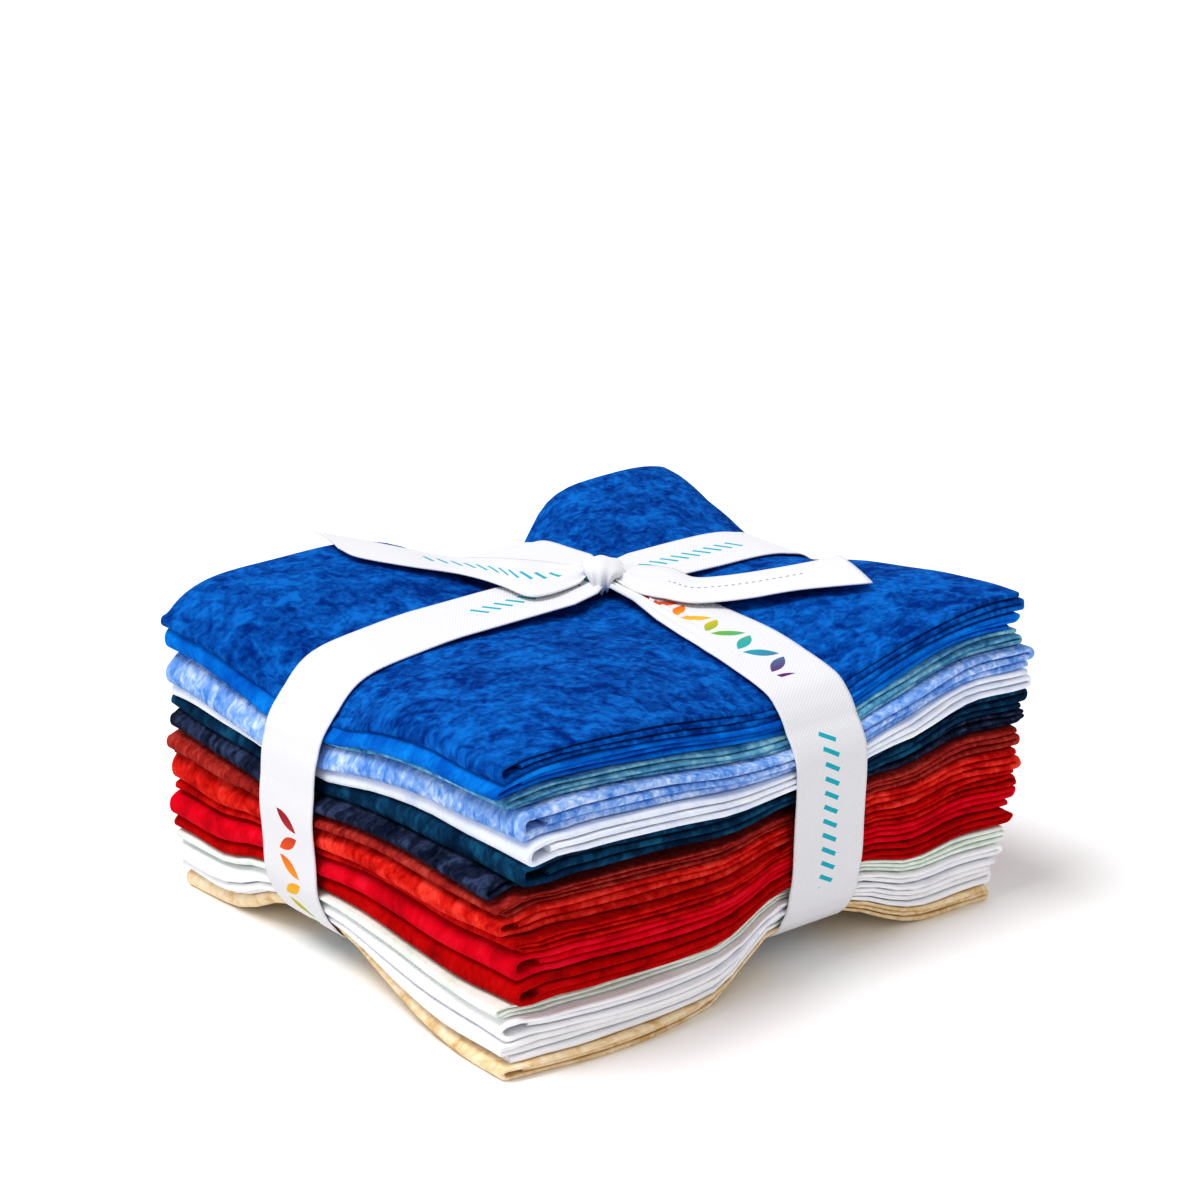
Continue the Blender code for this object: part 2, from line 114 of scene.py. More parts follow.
# Each quarter's three dye tones, the size and contrast of its mottle, and its fold. Then
# how thick it lies at three corners, and where its folded side, its open side and its
# edges lie at their ends.
QUARTER_COLUMNS = (
    "name", "dark", "colour", "light", "grain", "spread", "way", "deep_left", "deep_near", "deep_right",
    "fold_far", "fold_near", "end_near", "end_far", "edge_left", "edge_right", "edge_far",
)
QUARTERS = (
    ("royal", "00307C", "0A52A4", "1270C8", 3.2, 0.09, "wrap_down", 3.6, 4.0, 4.5,
     -78.2, -75.8, 84.0, 83.6, -67.4, -67.2, 67.2),
    ("azure", "0452B2", "066CCA", "128CEA", 9.0, 0.12, "wrap_up", 5.9, 4.6, 4.4,
     -77.6, -76.4, 81.5, 82.0, -66.5, -66.6, 66.4),
    ("light_teal", "2A6C98", "66A6C8", "A8DAE0", 5.0, 0.12, "zigzag", 3.0, 3.5, 4.0,
     -74.6, -74.8, 84.0, 83.4, -67.2, -66.4, 66.9),
    ("periwinkle", "5088D6", "90B5EE", "D8E6FF", 2.0, 0.11, "wrap_up", 6.6, 6.5, 5.4,
     -78.0, -73.6, 87.4, 85.2, -69.6, -67.0, 66.2),
    ("lavender", "DCE2F6", "EDF2FD", "FAFBFF", 7.0, 0.14, "wrap_down", 3.4, 5.3, 4.9,
     -76.3, -72.4, 87.2, 85.0, -71.2, -66.8, 66.8),
    ("dark_teal", "061E38", "0E3552", "1C5878", 4.5, 0.12, "wrap_up", 3.4, 6.1, 4.9,
     -75.9, -73.2, 86.8, 84.2, -70.4, -66.4, 67.4),
    ("navy", "0A1226", "222A40", "3E4A6A", 3.6, 0.09, "zigzag", 5.9, 3.4, 4.2,
     -77.5, -77.2, 86.0, 83.0, -62.6, -66.2, 66.0),
    ("brick", "6E1416", "A02B26", "BC4A40", 1.8, 0.13, "zigzag", 6.0, 3.4, 4.6,
     -78.6, -76.6, 85.0, 83.6, -66.2, -66.8, 66.6),
    ("bright_red", "AC0E0C", "D6261E", "F04A3C", 6.0, 0.085, "wrap_down", 7.1, 5.5, 5.3,
     -77.3, -77.0, 84.2, 82.4, -65.8, -67.0, 67.2),
    ("orange_red", "8C0606", "C00F0E", "D82A20", 5.0, 0.12, "zigzag", 3.4, 4.1, 4.2,
     -76.8, -74.4, 84.0, 82.8, -69.0, -66.6, 66.4),
    ("crimson", "A8041A", "D60622", "E41C38", 9.0, 0.14, "wrap_up", 6.2, 5.8, 5.0,
     -78.3, -74.6, 83.4, 81.6, -69.0, -67.0, 66.9),
    ("deep_red", "860406", "B20608", "C81014", 6.0, 0.13, "wrap_down", 3.4, 6.7, 4.5,
     -77.2, -74.6, 82.2, 81.4, -69.2, -66.9, 67.2),
    ("green_white", "D6E6DA", "EAF3EA", "F8FCF8", 5.0, 0.13, "zigzag", 3.6, 3.5, 4.1,
     -77.0, -77.0, 80.6, 80.4, -65.6, -66.3, 66.2),
    ("white", "EEECF4", "F8F8FC", "FEFEFF", 7.0, 0.15, "wrap_up", 5.0, 4.9, 4.9,
     -77.2, -76.4, 78.8, 79.4, -67.4, -66.8, 66.8),
    ("plain_white", "EEEEF3", "F9F9FC", "FEFEFE", 7.0, 0.15, "zigzag", 3.6, 5.2, 4.8,
     -76.0, -77.8, 77.2, 78.6, -67.4, -66.4, 66.4),
    ("beige", "D8B47C", "F2D8B0", "FAEACE", 4.0, 0.1, "wrap_down", 4.4, 4.0, 4.6,
     -74.8, -77.6, 76.8, 78.0, -69.0, -66.6, 66.6),
)
quarters = [dict(zip(QUARTER_COLUMNS, row)) for row in QUARTERS]

# Both bands' boxes say where the tie, and with it the stack, sits in the shared frame
long_low, long_high = (np.array(corner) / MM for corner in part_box("ribbon_long_band"))
short_low, short_high = (np.array(corner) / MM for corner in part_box("ribbon_short_band"))
long_middle = 0.5 * (long_low + long_high)
short_middle = 0.5 * (short_low + short_high)
tie_in_frame = np.array([
    short_middle[0] - SHORT_BAND_SLOPE * (short_middle[1] - long_middle[1]),
    long_middle[1] - LONG_BAND_SLOPE * (long_middle[0] - short_middle[0]),
])
STACK_MIDDLE = np.array([*(tie_in_frame - (TIE_X, TIE_Y)), 0.0])


def between(start, end, share):
    """A value on the straight line from start to end."""
    return start + (end - start) * share


def east_share(x):
    """0 at the -X side of the stack and 1 at its +X side."""
    return np.clip(0.5 + x / (2 * HALF_LENGTH), 0.0, 1.0)


def north_share(y):
    """0 at the -Y side of the stack and 1 at its +Y side."""
    return np.clip(0.5 + y / (2 * HALF_WIDTH), 0.0, 1.0)


def waves(along, lengths, seed):
    """Smooth unevenness from -1 to 1: the mean of sines of the given lengths.

    Each sine counts by its length, and has a seeded phase.
    """
    phases = np.random.default_rng(seed).uniform(0.0, 2.0 * math.pi, len(lengths))
    turns = [2.0 * math.pi * along / length + phase for length, phase in zip(lengths, phases)]
    return sum(length * np.sin(turn) for length, turn in zip(lengths, turns)) / sum(lengths)


def corner_blend(corners, x, y):
    """A value given at the four corners of the stack, blended between them."""
    near, far = (between(*side, east_share(x)) for side in corners)
    return between(near, far, north_share(y))


def trough(press, distance, reach):
    """1 across the flat strip under a band, then down to 0 as e to minus a power of the way."""
    past = np.maximum(np.abs(distance) - press["flat"], 0.0)
    return np.exp(-(past / np.where(distance < 0.0, *reach)) ** press["power"])


def long_trough(press, x, y):
    """The share of its full depth that the band along X presses at x and y."""
    ends = zip(press["long_reach_west"], press["long_reach_east"])
    return trough(press, y - TIE_Y, [between(west, east, east_share(x)) for west, east in ends])


def short_trough(press, x, y):
    """The share of its full depth that the band along Y presses at x and y."""
    ends = zip(press["short_reach_near"], press["short_reach_far"])
    return trough(press, x - TIE_X, [between(near, far, north_share(y)) for near, far in ends])


def way_out(position, tie, low_side, high_side):
    """0 at the tie and 1 at either side of the stack."""
    low = (tie - position) / (tie + low_side)
    high = (position - tie) / (high_side - tie)
    return np.clip(np.where(position < tie, low, high), 0.0, 1.0)


def out_to_side(press, x):
    """0 in the middle and 1 at the -X or +X side of the pressed face."""
    return np.clip(np.abs(x) / np.where(x < 0.0, *press["sides"]), 0.0, 1.0)


def pressed(press, x, y):
    """Depth that both bands press: the sum of their troughs, less where they cross.

    Along a band the depth goes from the middle's to the end's by a power law, less half
    a sine halfway out, where the band is furthest from what holds it down.
    """
    out_x = out_to_side(press, x) ** press["end_power"]
    out_y = np.clip(np.abs(y) / HALF_WIDTH, 0.0, 1.0) ** 2
    halfway_x = np.sin(math.pi * way_out(x, TIE_X, HALF_LENGTH, END_REACH))
    halfway_y = np.sin(math.pi * way_out(y, TIE_Y, HALF_WIDTH, HALF_WIDTH))
    along = between(press["middle"], np.where(x < TIE_X, *press["long_end"]), out_x)
    along -= np.where(x < TIE_X, *press["long_relief"]) * halfway_x
    across = between(press["middle"], press["short_end"], out_y)
    across -= press["short_relief"] * halfway_y
    along = along * long_trough(press, x, y)
    across = across * short_trough(press, x, y)
    return along + across - along * across / press["middle"]


def top_height(x, y):
    """Height of the top face: blended from its corners, crowned, less the troughs.

    The crown falls off to both sides by a high power, so it is flat up to the edges.
    """
    crown = corner_blend(CORNER_CROWN, x, y) * (1.0 - out_to_side(TOP_PRESS, x) ** CROWN_POWER)
    return corner_blend(CORNER_TOP, x, y) + crown - pressed(TOP_PRESS, x, y)


def bottom_height(x, y):
    """Height of the underside: flat pads under the corners, raised along the bands."""
    return np.maximum(pressed(BOTTOM_PRESS, x, y) - PAD_LEVEL, 0.0)


def deep_at(row, x, y):
    """Thickness of one quarter, blended between its corners."""
    east = east_share(x)
    hidden = 0.5 * (row["deep_left"] + row["deep_right"])
    near_side = between(row["deep_near"], row["deep_right"], east)
    far_side = between(row["deep_left"], hidden, east)
    return between(near_side, far_side, north_share(y))


def deep_under(rows, x, y):
    """Thickness of several quarters together."""
    return sum((deep_at(row, x, y) for row in rows), np.zeros_like(x))


LAYER_WAVE = 0.9
LAYER_WAVE_LENGTH = 36.0
LAYER_WAVE_START = (30.0, 46.0)
LAYER_WAVE_SLANT = 0.1
LAYER_WAVE_PHASE = 2.0
EDGE_UNEVEN = 0.8
EDGE_UNEVEN_HIGH = 76.0
EDGE_UNEVEN_SLANT = 0.15
EDGE_UNEVEN_LENGTHS = (19.0, 11.0, 7.0)
EDGE_UNEVEN_SEED = 5
CORNER_CRUMPLE = 0.55
CORNER_CRUMPLE_REACH = 15.0
CORNER_CRUMPLE_LENGTH = 13.0
CORNER_CRUMPLES_UP = 4.5
TOP_LUMP = 0.45
TOP_LUMP_POWER = 6
TOP_LUMP_SLANTS = (0.4, 0.3)
TOP_LUMP_LENGTHS = ((61.0, 37.0), (53.0, 31.0))
TOP_LUMP_SEEDS = (3, 4)


def squeeze(x, y, share):
    """Carry points of the loose stack to where the tie presses them.

    The height is the share between the underside and the top face. The sides are drawn
    in by a square law towards the top and bottom edges, under the bands, and the near
    side swells by half a sine. Layers past the short band wave by a sine along X. The
    edges at -Y stand out unevenly, and the layers crumple by a sine at the near corner.
    The top has low lumps, which fade downwards by a power of the height.
    """
    bottom = bottom_height(x, y)
    z = bottom + share * (top_height(x, y) - bottom)
    rim = EDGE_DRAW_IN * np.clip((np.abs(share - 0.5) - RIM_START) / (0.5 - RIM_START), 0.0, 1.0) ** 2
    out_x = np.clip((np.abs(x) - SIDE_START_X) / (HALF_LENGTH - SIDE_START_X), 0.0, 1.0) ** 2
    out_y = np.clip((np.abs(y) - SIDE_START_Y) / (HALF_WIDTH - SIDE_START_Y), 0.0, 1.0) ** 2
    drawn_x = x - np.sign(x) * rim * out_x * long_trough(TOP_PRESS, x, y)
    drawn_y = y - np.sign(y) * rim * out_y * short_trough(TOP_PRESS, x, y)
    swell = np.sin(math.pi * np.clip((x + HALF_LENGTH) / SWELL_LENGTH, 0.0, 1.0)) * out_y
    drawn_y -= np.where(y < 0.0, between(*NEAR_SWELL, share) * swell, 0.0)
    past_band = np.clip((x - LAYER_WAVE_START[0]) / (LAYER_WAVE_START[1] - LAYER_WAVE_START[0]), 0.0, 1.0)
    middle = 4.0 * share * (1.0 - share)
    turn = 2.0 * math.pi * (x - LAYER_WAVE_SLANT * y) / LAYER_WAVE_LENGTH + LAYER_WAVE_PHASE
    z += LAYER_WAVE * past_band * out_y * middle * np.sin(turn)
    near = np.where(y < 0.0, out_y, 0.0)
    loose = near * (1.0 - short_trough(TOP_PRESS, x, y))
    up = EDGE_UNEVEN_HIGH * share + EDGE_UNEVEN_SLANT * x
    drawn_y -= EDGE_UNEVEN * loose * waves(up, EDGE_UNEVEN_LENGTHS, EDGE_UNEVEN_SEED)
    corner = near * np.exp(-((x + HALF_LENGTH) / CORNER_CRUMPLE_REACH) ** 2)
    turn = 2.0 * math.pi * (x / CORNER_CRUMPLE_LENGTH + CORNER_CRUMPLES_UP * share)
    z += CORNER_CRUMPLE * corner * middle * np.sin(turn)
    lump_x = waves(x + TOP_LUMP_SLANTS[0] * y, TOP_LUMP_LENGTHS[0], TOP_LUMP_SEEDS[0])
    lump_y = waves(y - TOP_LUMP_SLANTS[1] * x, TOP_LUMP_LENGTHS[1], TOP_LUMP_SEEDS[1])
    z += TOP_LUMP * share ** TOP_LUMP_POWER * lump_x * lump_y
    return np.stack([drawn_x, drawn_y, z], axis=-1)


def back_and_forth(levels, spacing, start_in, turns_in, end_in, run_steps):
    """A line folded back and forth between a low side and a high side.

    Each run keeps one level and each turn is a squared half circle, whose radius is half
    the height between its runs. Steps are eased by a cosine, so they are closest at the
    turns. Gives, for every point, its share of the way from the low to the high side,
    what it stands in from there, and its level.
    """
    steps = 0.5 - 0.5 * np.cos(math.pi * np.linspace(0.0, 1.0, run_steps))
    steps = between(np.linspace(0.0, 1.0, run_steps), steps, STEP_EASE)
    shares, insets, heights = [], [], []
    begin_in = start_in
    for number, level in enumerate(levels):
        heading = 1.0 if number % 2 == 0 else -1.0
        last = number == len(levels) - 1
        climb = 0 if last else levels[number + 1] - level
        radius = 0.5 * abs(climb) * spacing
        stop_in = end_in if last else turns_in[number] + radius
        shares.append(steps if heading > 0 else 1.0 - steps)
        insets.append(heading * between(begin_in, -stop_in, steps))
        heights.append(np.full(run_steps, float(level)))
        if not last:
            turned = math.pi * np.arange(1, 2 * TURN_STEPS) / (2 * TURN_STEPS)
            shares.append(np.full(turned.shape, 0.5 + 0.5 * heading))
            insets.append(-heading * (stop_in - radius * np.sin(turned) ** TURN_SQUARE))
            rise = np.sign(np.cos(turned)) * np.abs(np.cos(turned)) ** TURN_SQUARE
            heights.append(level + 0.5 * climb * (1.0 - rise))
        begin_in = stop_in
    return np.concatenate(shares), np.concatenate(insets), np.concatenate(heights)


CROSS_STEPS_FEWER = 6
PLY_ENDS_IN = (0.8, 1.5)
INNER_TURN_IN = 0.3
PASS_SHIFT = 0.85
EDGE_WAVE = 0.45
EDGE_WAVE_LENGTHS = (58.0, 33.0, 19.0)
EDGE_WAVE_STEP = 9.0
FOLD_WAVE = 0.45
FOLD_WAVE_LENGTHS = (71.0, 43.0, 24.0)
END_WAVE = 0.9
END_WAVE_LENGTHS = (67.0, 29.0, 17.0)
END_WAVE_STEP = 11.0
FIRST_SEEDS = {"shift": 40, "edge": 60, "fold": 80, "end": 100}


def quarter_sheet(number):
    """The middle surface of one folded sheet, with the distance along it both ways.

    The sheet is the product of two folded lines: three passes along X, and across them
    four plies along Y, which stand off the passes along their normal. Its edges, folds
    and ends wander by sums of sines, which differ from pass to pass.
    """
    row = quarters[number]
    levels, tuck_in, loose_end = FOLDS[row["way"]]
    mean_pass = (row["deep_left"] + row["deep_near"] + row["deep_right"]) / 3.0 / PASSES
    half_sheet = 0.5 * (mean_pass - PASS_GAP)
    ply = (mean_pass - PASS_GAP - CLOTH_THICK) / (PLIES - 1)
    steps = TOP_RUN_STEPS if number == 0 else RUN_STEPS

    side, inset, level = back_and_forth(levels, mean_pass, tuck_in, (half_sheet,) * 2, loose_end, steps)
    plain_x = between(-HALF_LENGTH, HALF_LENGTH, side) + inset
    run_x, run_z = np.gradient(plain_x), np.gradient(level * mean_pass)
    length = np.hypot(run_x, run_z)
    normal_x, normal_z = -run_z / length, run_x / length
    along = np.concatenate([[0.0], np.cumsum(np.hypot(np.diff(plain_x), np.diff(level * mean_pass)))])

    near_turn = 0.5 * CLOTH_THICK
    turns_in = (near_turn, near_turn, near_turn + ply + INNER_TURN_IN)
    north, stand_in, ply_level = back_and_forth(
        FOUR_FOLD, ply, PLY_ENDS_IN[0], turns_in, PLY_ENDS_IN[1], steps - CROSS_STEPS_FEWER)
    north, stand_in = 1.0 - north, -stand_in
    across_y = between(-HALF_WIDTH, HALF_WIDTH, north) + stand_in
    across = np.concatenate([[0.0], np.cumsum(np.hypot(np.diff(across_y), np.diff(ply_level * ply)))])
    off = ply_level / (PLIES - 1) - 0.5

    side, inset, level, normal_x, normal_z = (
        line[:, None] for line in (side, inset, level, normal_x, normal_z))
    seeds = {name: first + number for name, first in FIRST_SEEDS.items()}
    shifts = PASS_SHIFT * np.random.default_rng(seeds["shift"]).uniform(-1.0, 1.0, PASSES)
    shift = np.interp(level, np.arange(PASSES), shifts)
    edge_at = plain_x[:, None] + EDGE_WAVE_STEP * level
    near = between(row["edge_left"], row["edge_right"], side) + shift
    near = near + EDGE_WAVE * waves(edge_at, EDGE_WAVE_LENGTHS, seeds["edge"])
    y = between(near, row["edge_far"], north) + stand_in
    share_y = north_share(y)
    fold_wave = FOLD_WAVE * waves(y, FOLD_WAVE_LENGTHS, seeds["fold"])
    end_wave = END_WAVE * waves(y + END_WAVE_STEP * level, END_WAVE_LENGTHS, seeds["end"])
    west = between(row["fold_near"], row["fold_far"], share_y) + fold_wave
    east = between(row["end_near"], row["end_far"], share_y) + end_wave
    x = between(west, east, side) + inset + off * normal_x * (mean_pass - PASS_GAP - CLOTH_THICK)

    pass_deep = deep_at(row, x, y) / PASSES
    height = (level + 0.5) * pass_deep + off * normal_z * (pass_deep - PASS_GAP - CLOTH_THICK)
    margin = 0.5 * (PASS_GAP + CLOTH_THICK)
    under = deep_under(quarters[number + 1:], x, y) + height - margin
    share = under / (deep_under(quarters, x, y) - 2.0 * margin)
    points = squeeze(x, y, share)
    points[..., 2] += 0.5 * CLOTH_THICK * (1.0 - 2.0 * share)
    return points, along, across


def grid_mesh(name, points, along, across):
    """A mesh of a grid of points in the stack's millimetres, with lengths as its UV map."""
    rows, columns = points.shape[:2]
    index = np.arange(rows * columns).reshape(rows, columns)
    corners = (index[:-1, :-1], index[1:, :-1], index[1:, 1:], index[:-1, 1:])
    faces = np.stack(corners, axis=-1).reshape(-1, 4)
    mesh = bpy.data.meshes.new(name)
    mesh.vertices.add(rows * columns)
    mesh.vertices.foreach_set("co", ((points + STACK_MIDDLE) * MM).ravel())
    mesh.loops.add(faces.size)
    mesh.loops.foreach_set("vertex_index", faces.ravel())
    mesh.polygons.add(len(faces))
    mesh.polygons.foreach_set("loop_start", 4 * np.arange(len(faces)))
    mesh.update(calc_edges=True)
    mesh.polygons.foreach_set("use_smooth", np.ones(len(faces), dtype=bool))
    lengths = np.stack(np.broadcast_arrays(along[:, None], across), axis=-1).reshape(-1, 2) * MM
    uv_map = mesh.uv_layers.new(name="UVMap")
    uv_map.data.foreach_set("uv", lengths[faces.ravel()].ravel())
    mesh.validate()
    return mesh


def add_piece(name, mesh, material, thick, node):
    """Put a mesh in the scene as a sheet of some thickness that stands for a CAD node."""
    piece = bpy.data.objects.new(name, mesh)
    bpy.context.scene.collection.objects.link(piece)
    mesh.materials.append(material)
    wall = piece.modifiers.new("Thickness", "SOLIDIFY")
    wall.thickness = thick * MM
    wall.offset = 0.0
    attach(piece, "root")
    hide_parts(node)
    return piece


def linear(text):
    """Linear colour of an sRGB hex value, by the sRGB curve: a straight foot, then a power."""
    channels = [int(text[i:i + 2], 16) / 255.0 for i in (0, 2, 4)]
    return (*(c / 12.92 if c <= 0.04045 else ((c + 0.055) / 1.055) ** 2.4 for c in channels), 1.0)


def add_node(tree, kind, settings, inputs):
    """Add a node, set its settings, and link or set each input by name or number."""
    node = tree.nodes.new(kind)
    for name, value in settings.items():
        setattr(node, name, value)
    for name, value in inputs.items():
        if isinstance(value, bpy.types.NodeSocket):
            tree.links.new(value, node.inputs[name])
        else:
            node.inputs[name].default_value = value
    return node


BLOTCH_MM = 13.0
SPECK_MM = 1.3
MOTTLE_SHARE = 0.44
SPECK_SHARE = 0.2
DYE_MIDDLE = 0.5
DYE_SHIFT = 1.7
DYE_SHIFT_SLANT = 0.37
THREAD_MM = 0.62
WAVE_AT_SCALE_ONE = 0.314
CRUMPLE_MM = 0.6
WEAVE_MM = 0.05


def batik_cotton(row, shift):
    """Wax-resist dyed quilting cotton.

    The dye pools in ragged blotches over a finer mottle, whose grain and strength differ
    from cloth to cloth. The threads are drawn twice as coarse as the real 0.3 mm, so that
    they just show. Cotton is matt: it has nearly no gloss.
    """
    material = bpy.data.materials.new(f"batik_cotton_{row['name']}")
    material.use_nodes = True
    tree = material.node_tree
    shader = tree.nodes["Principled BSDF"]
    place = add_node(tree, "ShaderNodeUVMap", {"uv_map": "UVMap"}, {}).outputs["UV"]
    shifted = add_node(tree, "ShaderNodeVectorMath", {"operation": "ADD"}, {
        0: place, 1: (shift, DYE_SHIFT_SLANT * shift, 0.0)})
    at = shifted.outputs["Vector"]
    blotch = add_node(tree, "ShaderNodeTexNoise", {}, {
        "Vector": at, "Scale": 1.0 / (BLOTCH_MM * MM), "Detail": 5.0, "Roughness": 0.62, "Distortion": 0.8})
    mottle = add_node(tree, "ShaderNodeTexNoise", {}, {
        "Vector": at, "Scale": 1.0 / (row["grain"] * MM), "Detail": 2.0, "Roughness": 0.55,
        "Distortion": 0.7})
    speck = add_node(tree, "ShaderNodeTexNoise", {}, {
        "Vector": at, "Scale": 1.0 / (SPECK_MM * MM), "Detail": 3.0, "Roughness": 0.6})
    both = add_node(tree, "ShaderNodeMix", {"data_type": "FLOAT"}, {
        "Factor": MOTTLE_SHARE, 2: blotch.outputs["Fac"], 3: mottle.outputs["Fac"]})
    tone = add_node(tree, "ShaderNodeMix", {"data_type": "FLOAT"}, {
        "Factor": SPECK_SHARE, 2: both.outputs[0], 3: speck.outputs["Fac"]})
    dye = add_node(tree, "ShaderNodeValToRGB", {}, {"Fac": tone.outputs[0]})
    stops = dye.color_ramp.elements
    stops[0].position, stops[0].color = DYE_MIDDLE - row["spread"], linear(row["dark"])
    stops[1].position, stops[1].color = DYE_MIDDLE + row["spread"], linear(row["light"])
    stops.new(DYE_MIDDLE).color = linear(row["colour"])
    tree.links.new(dye.outputs["Color"], shader.inputs["Base Color"])

    thread_scale = WAVE_AT_SCALE_ONE / (THREAD_MM * MM)
    warp, weft = (
        add_node(tree, "ShaderNodeTexWave", {"wave_profile": "SIN", "bands_direction": direction}, {
            "Vector": place, "Scale": thread_scale, "Distortion": 1.2, "Detail": 1.0})
        for direction in "XY")
    threads = add_node(tree, "ShaderNodeMix", {"data_type": "FLOAT"}, {
        "Factor": 0.5, 2: warp.outputs["Fac"], 3: weft.outputs["Fac"]})
    crumple = add_node(tree, "ShaderNodeBump", {}, {
        "Strength": 0.3, "Distance": CRUMPLE_MM * MM, "Height": mottle.outputs["Fac"]})
    weave = add_node(tree, "ShaderNodeBump", {}, {
        "Strength": 0.35, "Distance": WEAVE_MM * MM, "Height": threads.outputs[0],
        "Normal": crumple.outputs["Normal"]})
    tree.links.new(weave.outputs["Normal"], shader.inputs["Normal"])
    shader.inputs["Roughness"].default_value = 0.9
    shader.inputs["Specular IOR Level"].default_value = 0.03
    return material


nodes = [f"quarter_{number:02d}_{row['name']}" for number, row in enumerate(quarters, 1)]
cloth_points = []
for number, (node, row) in enumerate(zip(nodes, quarters)):
    points, along, across = quarter_sheet(number)
    cloth_points.append(points.reshape(-1, 3))
    cotton = batik_cotton(row, DYE_SHIFT * number)
    quarter = add_piece(
        f"fat_quarter_{number + 1:02d}", grid_mesh(node, points, along, across), cotton, CLOTH_THICK,
        node)
cloth_points = np.concatenate(cloth_points)

# The tie's two bands. One white woven ribbon, 22 mm wide, runs round the stack the long
# way and then the short way, and is pulled so taut that it bridges the hollows between
# the folds. Its face is printed, and at the knot it is gathered to under half its width.
RIBBON_HALF = 11.0
RIBBON_THICK = 0.32
RIBBON_CLEAR = 0.55
BAND_HALF = 12.5
TAUT_DIRECTIONS = 1440
BAND_STEPS = 420
BAND_SMOOTH_MM = 4.0
BAND_SMOOTH_PASSES = 2
BAND_WIDE_STEPS = 25
GATHER_PLEATS = 2.5
GATHER_DEEP = 0.7
BANDS_APART = 0.5
KNOT_LIFT = 4.3
ARM_UNDER_KNOT = 1.6
knot_z = float(top_height(np.array(TIE_X), np.array(TIE_Y))) + KNOT_LIFT


def taut_line(points, knot_at):
    """The line of a taut band round plane points, from the knot round to the knot.

    It is the outline of the points and the knot, found in many directions and rounded by
    a running mean. Each point then goes out along its normal as far as the outline does.
    """
    points = np.concatenate([points, [(knot_at, knot_z - ARM_UNDER_KNOT)]])
    turns = np.linspace(0.5 * math.pi, 2.5 * math.pi, TAUT_DIRECTIONS, endpoint=False)
    picks = np.argmax(points @ np.stack([np.cos(turns), np.sin(turns)]), axis=0)
    ring = points[picks[picks != np.roll(picks, 1)]]
    ring = np.roll(ring, -int(np.argmin(np.hypot(ring[:, 0] - knot_at, ring[:, 1] - knot_z))), axis=0)
    ring = np.concatenate([ring, ring[:1]])
    run = np.concatenate([[0.0], np.cumsum(np.hypot(*np.diff(ring, axis=0).T))])
    even = np.linspace(0.0, run[-1], BAND_STEPS, endpoint=False)
    line = np.stack([np.interp(even, run, ring[:, axis]) for axis in (0, 1)], axis=-1)
    reach = int(round(BAND_SMOOTH_MM / run[-1] * BAND_STEPS))
    for _ in range(BAND_SMOOTH_PASSES):
        line = sum(np.roll(line, shift, axis=0) for shift in range(-reach, reach + 1)) / (2 * reach + 1)
    step = np.roll(line, -1, axis=0) - np.roll(line, 1, axis=0)
    normal = np.stack([step[:, 1], -step[:, 0]], axis=-1) / np.hypot(*step.T)[:, None]
    short = (ring @ normal.T).max(axis=0) - np.sum(line * normal, axis=1)
    return line + (short + RIBBON_CLEAR)[:, None] * normal, normal


# How far each arm reaches to its low and its high side, at distances from the knot, for
# the arm before the knot and the arm past it
GATHER_AT = (2.0, 8.0, 17.0, 30.0, 42.0, 52.0)
LONG_GATHERS = (
    ((4.6, 8.6, 11.0, 11.0, 11.0, 11.0), (4.2, 6.8, 10.6, 11.0, 11.0, 11.0)),
    ((4.2, 6.6, 10.6, 11.0, 11.0, 11.0), (4.6, 7.6, 10.4, 11.0, 11.0, 11.0)),
)
SHORT_GATHERS = (
    ((3.6, 3.2, 4.0, 7.6, 9.8, 11.0), (4.2, 8.0, 10.4, 11.0, 11.0, 11.0)),
    ((4.2, 6.6, 11.0, 11.0, 11.0, 11.0), (4.2, 6.6, 11.0, 11.0, 11.0, 11.0)),
)


def band_surface(points, knot_at, knot_across, slope, gathers):
    """A band on its taut line, with the distance along it and across it.

    Where it is gathered it is pleated across: a cosine, whose height grows with the gather.
    """
    line, normal = taut_line(points, knot_at)
    on_top = line[:, 1] > 0.5 * (line[:, 1].max() + line[:, 1].min())
    from_knot = np.where(on_top, np.abs(line[:, 0] - knot_at), GATHER_AT[-1])
    low_arm = line[:, 0] < knot_at
    halves = [[np.interp(from_knot, GATHER_AT, side) for side in arm] for arm in gathers]
    low_half, high_half = (np.where(low_arm, *arms)[:, None] for arms in zip(*halves))
    wide = np.linspace(-1.0, 1.0, BAND_WIDE_STEPS)
    half = np.where(wide < 0.0, low_half, high_half)
    gathered = 1.0 - half / RIBBON_HALF
    pleat = GATHER_DEEP * gathered * (1.0 + np.cos(2.0 * math.pi * GATHER_PLEATS * wide))
    lifted = line[:, None] + pleat[..., None] * normal[:, None]
    sideways = knot_across + slope * (line[:, :1] - knot_at) + half * wide
    place = np.stack([lifted[..., 0], sideways, lifted[..., 1]], axis=-1)
    run = np.concatenate([[0.0], np.cumsum(np.hypot(*np.diff(line, axis=0).T))])
    return place, run, RIBBON_HALF * wide


TWILL_MM = 0.9
TWILL_SLANT = 0.8
PICK_MM = 0.45
PICK_HIGH = 0.4
TWILL_DEEP = 0.05
PRINT_REPEAT = 190.0
LEAF_PITCH = 6.0
LEAF_LONG = 4.4
LEAF_WIDE = 1.5
LEAF_ROW_END = 56.0
DASH_PITCH = 3.6
DASH_LONG = 2.5
DASH_WIDE = 0.55
DASH_ROW = (72.0, 112.0)
DOT_PITCH = 1.7
DOT_RADIUS = 0.42
DOT_ROW = (130.0, 165.0)
LEAN_ALONG = 0.5
LEAN_ACROSS = 0.87

